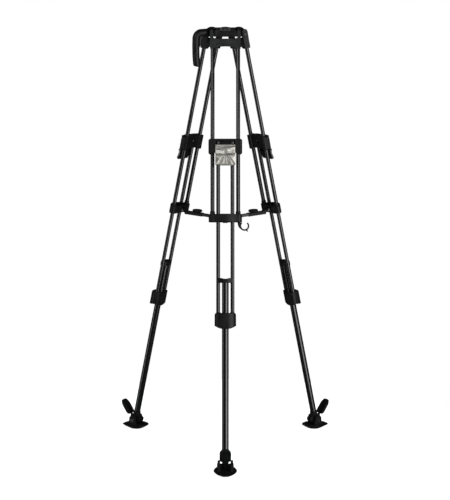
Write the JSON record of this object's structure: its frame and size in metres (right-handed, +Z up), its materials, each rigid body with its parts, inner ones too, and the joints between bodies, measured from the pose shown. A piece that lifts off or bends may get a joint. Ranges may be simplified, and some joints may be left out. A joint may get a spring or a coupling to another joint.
{
  "type": "camera tripod",
  "caption": "Two-stage camera tripod legs with a bowl head mount, twin-tube legs, flip-lock levers, a folding mid-level spreader, a side carry handle and oval pivoting rubber feet.",
  "frame": {"origin": "centre of the footprint box on the floor, under the standing tripod", "axes": "+Z up, -Y towards the front leg, +X to the right seen from the front"},
  "size_m": [0.7842, 0.6839, 1.497],
  "materials": {
    "tube_black": "satin black anodised tube with a hard highlight along it",
    "lever_nickel": "satin nickel-plated casting, warm silver",
    "rubber_black": "matt black rubber",
    "grip_black": "soft black moulded grip",
    "plate_grey": "dark grey painted plate",
    "moulding_black": "fine-textured black moulding",
    "casting_black": "fine-textured black powder coat on cast alloy"
  },
  "bodies": {
    "root": {"crown_bowl": "casting_black", "hinge_screw_plate": "plate_grey", "carry_handle": "grip_black"},
    "leg_front": {"leg_yoke_front": "casting_black", "upper_tube_a_front": "tube_black", "upper_tube_b_front": "tube_black", "spreader_bracket_front": "casting_black", "cable_hook": "casting_black"},
    "mid_stage_front": {"upper_clamp_front": "casting_black", "mid_tube_a_front": "tube_black", "mid_tube_b_front": "tube_black", "lower_collar_front": "casting_black"},
    "clamp_lever_front": {"clamp_lever_front": "lever_nickel"},
    "collar_lever_front": {"collar_lever_front": "moulding_black"},
    "low_stage_front": {"tube_guide_front": "moulding_black", "lower_tube_front": "tube_black", "ankle_front": "rubber_black"},
    "shoe_front": {"foot_shoe_front": "rubber_black"},
    "pedal_front": {"foot_pedal_front": "rubber_black"},
    "arm_front": {"arm_sleeve_front": "casting_black"},
    "bar_front": {"arm_bar_front": "casting_black"},
    "knob_front": {"arm_knob_front": "rubber_black"},
    "leg_left": {"leg_yoke_left": "casting_black", "upper_tube_a_left": "tube_black", "upper_tube_b_left": "tube_black", "spreader_bracket_left": "casting_black"},
    "mid_stage_left": {"upper_clamp_left": "casting_black", "mid_tube_a_left": "tube_black", "mid_tube_b_left": "tube_black", "lower_collar_left": "casting_black"},
    "clamp_lever_left": {"clamp_lever_left": "lever_nickel"},
    "collar_lever_left": {"collar_lever_left": "moulding_black"},
    "low_stage_left": {"tube_guide_left": "moulding_black", "lower_tube_left": "tube_black", "ankle_left": "rubber_black"},
    "shoe_left": {"foot_shoe_left": "rubber_black"},
    "pedal_left": {"foot_pedal_left": "rubber_black"},
    "arm_left": {"arm_sleeve_left": "casting_black"},
    "bar_left": {"arm_bar_left": "casting_black"},
    "knob_left": {"arm_knob_left": "rubber_black"},
    "leg_right": {"leg_yoke_right": "casting_black", "upper_tube_a_right": "tube_black", "upper_tube_b_right": "tube_black", "spreader_bracket_right": "casting_black"},
    "mid_stage_right": {"upper_clamp_right": "casting_black", "mid_tube_a_right": "tube_black", "mid_tube_b_right": "tube_black", "lower_collar_right": "casting_black"},
    "clamp_lever_right": {"clamp_lever_right": "lever_nickel"},
    "collar_lever_right": {"collar_lever_right": "moulding_black"},
    "low_stage_right": {"tube_guide_right": "moulding_black", "lower_tube_right": "tube_black", "ankle_right": "rubber_black"},
    "shoe_right": {"foot_shoe_right": "rubber_black"},
    "pedal_right": {"foot_pedal_right": "rubber_black"},
    "arm_right": {"arm_sleeve_right": "casting_black"},
    "bar_right": {"arm_bar_right": "casting_black"},
    "knob_right": {"arm_knob_right": "rubber_black"},
    "hub": {"spreader_hub": "casting_black"}
  },
  "joints": [
    {"name": "leg_front_swing", "type": "hinge", "parent": "root", "child": "leg_front", "pos_m": [0, 0.0541, 1.47], "axis": [1, 0, 0], "range_deg": [0, 8]},
    {"name": "mid_front_slide", "type": "slide", "parent": "leg_front", "child": "mid_stage_front", "axis": [0, -0.2215, -0.9751], "range_m": [-0.3, 0.15]},
    {"name": "low_front_slide", "type": "slide", "parent": "mid_stage_front", "child": "low_stage_front", "axis": [0, -0.2215, -0.9751], "range_m": [-0.36, 0.1]},
    {"name": "clamp_lever_front_turn", "type": "hinge", "parent": "mid_stage_front", "child": "clamp_lever_front", "pos_m": [0, -0.05625, 1.09534], "axis": [-1, 0, 0], "range_deg": [0, 80]},
    {"name": "collar_lever_front_turn", "type": "hinge", "parent": "mid_stage_front", "child": "collar_lever_front", "pos_m": [0, -0.19413, 0.53629], "axis": [-1, 0, 0], "range_deg": [0, 70]},
    {"name": "shoe_front_tilt", "type": "hinge", "parent": "low_stage_front", "child": "shoe_front", "pos_m": [0, -0.28603, 0.03386], "axis": [1, 0, 0], "range_deg": [-15, 15]},
    {"name": "pedal_front_turn", "type": "hinge", "parent": "low_stage_front", "child": "pedal_front", "pos_m": [0, -0.30072, 0.04592], "axis": [-1, 0, 0], "range_deg": [0, 25]},
    {"name": "arm_front_turn", "type": "hinge", "parent": "leg_front", "child": "arm_front", "pos_m": [0, -0.06834, 0.84305], "axis": [-1, 0, 0], "range_deg": [0, 51]},
    {"name": "bar_front_slide", "type": "slide", "parent": "arm_front", "child": "bar_front", "axis": [0, 0.9978, -0.0665], "range_m": [-0.0565, 0]},
    {"name": "knob_front_turn", "type": "hinge", "parent": "arm_front", "child": "knob_front", "pos_m": [0, -0.01207, 0.83779], "axis": [0, 0.0665, 0.9978], "range_deg": [0, 180]},
    {"name": "leg_left_swing", "type": "hinge", "parent": "root", "child": "leg_left", "pos_m": [-0.0433, 0.1291, 1.47], "axis": [-0.5, -0.866, 0], "range_deg": [0, 8]},
    {"name": "mid_left_slide", "type": "slide", "parent": "leg_left", "child": "mid_stage_left", "axis": [-0.1919, 0.1108, -0.9751], "range_m": [-0.3, 0.15]},
    {"name": "low_left_slide", "type": "slide", "parent": "mid_stage_left", "child": "low_stage_left", "axis": [-0.1919, 0.1108, -0.9751], "range_m": [-0.36, 0.1]},
    {"name": "clamp_lever_left_turn", "type": "hinge", "parent": "mid_stage_left", "child": "clamp_lever_left", "pos_m": [-0.13887, 0.18427, 1.09534], "axis": [0.5, 0.866, 0], "range_deg": [0, 80]},
    {"name": "collar_lever_left_turn", "type": "hinge", "parent": "mid_stage_left", "child": "collar_lever_left", "pos_m": [-0.25827, 0.25322, 0.53629], "axis": [0.5, 0.866, 0], "range_deg": [0, 70]},
    {"name": "shoe_left_tilt", "type": "hinge", "parent": "low_stage_left", "child": "shoe_left", "pos_m": [-0.33786, 0.29916, 0.03386], "axis": [-0.5, -0.866, 0], "range_deg": [-15, 15]},
    {"name": "pedal_left_turn", "type": "hinge", "parent": "low_stage_left", "child": "pedal_left", "pos_m": [-0.35058, 0.30651, 0.04592], "axis": [0.5, 0.866, 0], "range_deg": [0, 25]},
    {"name": "arm_left_turn", "type": "hinge", "parent": "leg_left", "child": "arm_left", "pos_m": [-0.14934, 0.19032, 0.84305], "axis": [0.5, 0.866, 0], "range_deg": [0, 51]},
    {"name": "bar_left_slide", "type": "slide", "parent": "arm_left", "child": "bar_left", "axis": [0.8641, -0.4989, -0.0665], "range_m": [-0.0565, 0]},
    {"name": "knob_left_turn", "type": "hinge", "parent": "arm_left", "child": "knob_left", "pos_m": [-0.1006, 0.16218, 0.83779], "axis": [0.0576, -0.0333, 0.9978], "range_deg": [0, 180]},
    {"name": "leg_right_swing", "type": "hinge", "parent": "root", "child": "leg_right", "pos_m": [0.0433, 0.1291, 1.47], "axis": [-0.5, 0.866, 0], "range_deg": [0, 8]},
    {"name": "mid_right_slide", "type": "slide", "parent": "leg_right", "child": "mid_stage_right", "axis": [0.1919, 0.1108, -0.9751], "range_m": [-0.3, 0.15]},
    {"name": "low_right_slide", "type": "slide", "parent": "mid_stage_right", "child": "low_stage_right", "axis": [0.1919, 0.1108, -0.9751], "range_m": [-0.36, 0.1]},
    {"name": "clamp_lever_right_turn", "type": "hinge", "parent": "mid_stage_right", "child": "clamp_lever_right", "pos_m": [0.13887, 0.18427, 1.09534], "axis": [0.5, -0.866, 0], "range_deg": [0, 80]},
    {"name": "collar_lever_right_turn", "type": "hinge", "parent": "mid_stage_right", "child": "collar_lever_right", "pos_m": [0.25827, 0.25322, 0.53629], "axis": [0.5, -0.866, 0], "range_deg": [0, 70]},
    {"name": "shoe_right_tilt", "type": "hinge", "parent": "low_stage_right", "child": "shoe_right", "pos_m": [0.33786, 0.29916, 0.03386], "axis": [-0.5, 0.866, 0], "range_deg": [-15, 15]},
    {"name": "pedal_right_turn", "type": "hinge", "parent": "low_stage_right", "child": "pedal_right", "pos_m": [0.35058, 0.30651, 0.04592], "axis": [0.5, -0.866, 0], "range_deg": [0, 25]},
    {"name": "arm_right_turn", "type": "hinge", "parent": "leg_right", "child": "arm_right", "pos_m": [0.14934, 0.19032, 0.84305], "axis": [0.5, -0.866, 0], "range_deg": [0, 51]},
    {"name": "bar_right_slide", "type": "slide", "parent": "arm_right", "child": "bar_right", "axis": [-0.8641, -0.4989, -0.0665], "range_m": [-0.0565, 0]},
    {"name": "knob_right_turn", "type": "hinge", "parent": "arm_right", "child": "knob_right", "pos_m": [0.1006, 0.16218, 0.83779], "axis": [-0.0576, -0.0333, 0.9978], "range_deg": [0, 180]},
    {"name": "hub_turn", "type": "hinge", "parent": "bar_front", "child": "hub", "pos_m": [0, 0.08209, 0.825], "axis": [1, 0, 0], "range_deg": [0, 43]}
  ],
  "couplings": [
    {"joint": "arm_front_turn", "follows": "leg_front_swing", "ratio": 6.338},
    {"joint": "bar_front_slide", "follows": "leg_front_swing", "m_per_rad": -0.4032},
    {"joint": "leg_left_swing", "follows": "leg_front_swing", "ratio": 1},
    {"joint": "arm_left_turn", "follows": "leg_front_swing", "ratio": 6.338},
    {"joint": "bar_left_slide", "follows": "leg_front_swing", "m_per_rad": -0.4032},
    {"joint": "leg_right_swing", "follows": "leg_front_swing", "ratio": 1},
    {"joint": "arm_right_turn", "follows": "leg_front_swing", "ratio": 6.338},
    {"joint": "bar_right_slide", "follows": "leg_front_swing", "m_per_rad": -0.4032},
    {"joint": "hub_turn", "follows": "leg_front_swing", "ratio": 5.338}
  ]
}
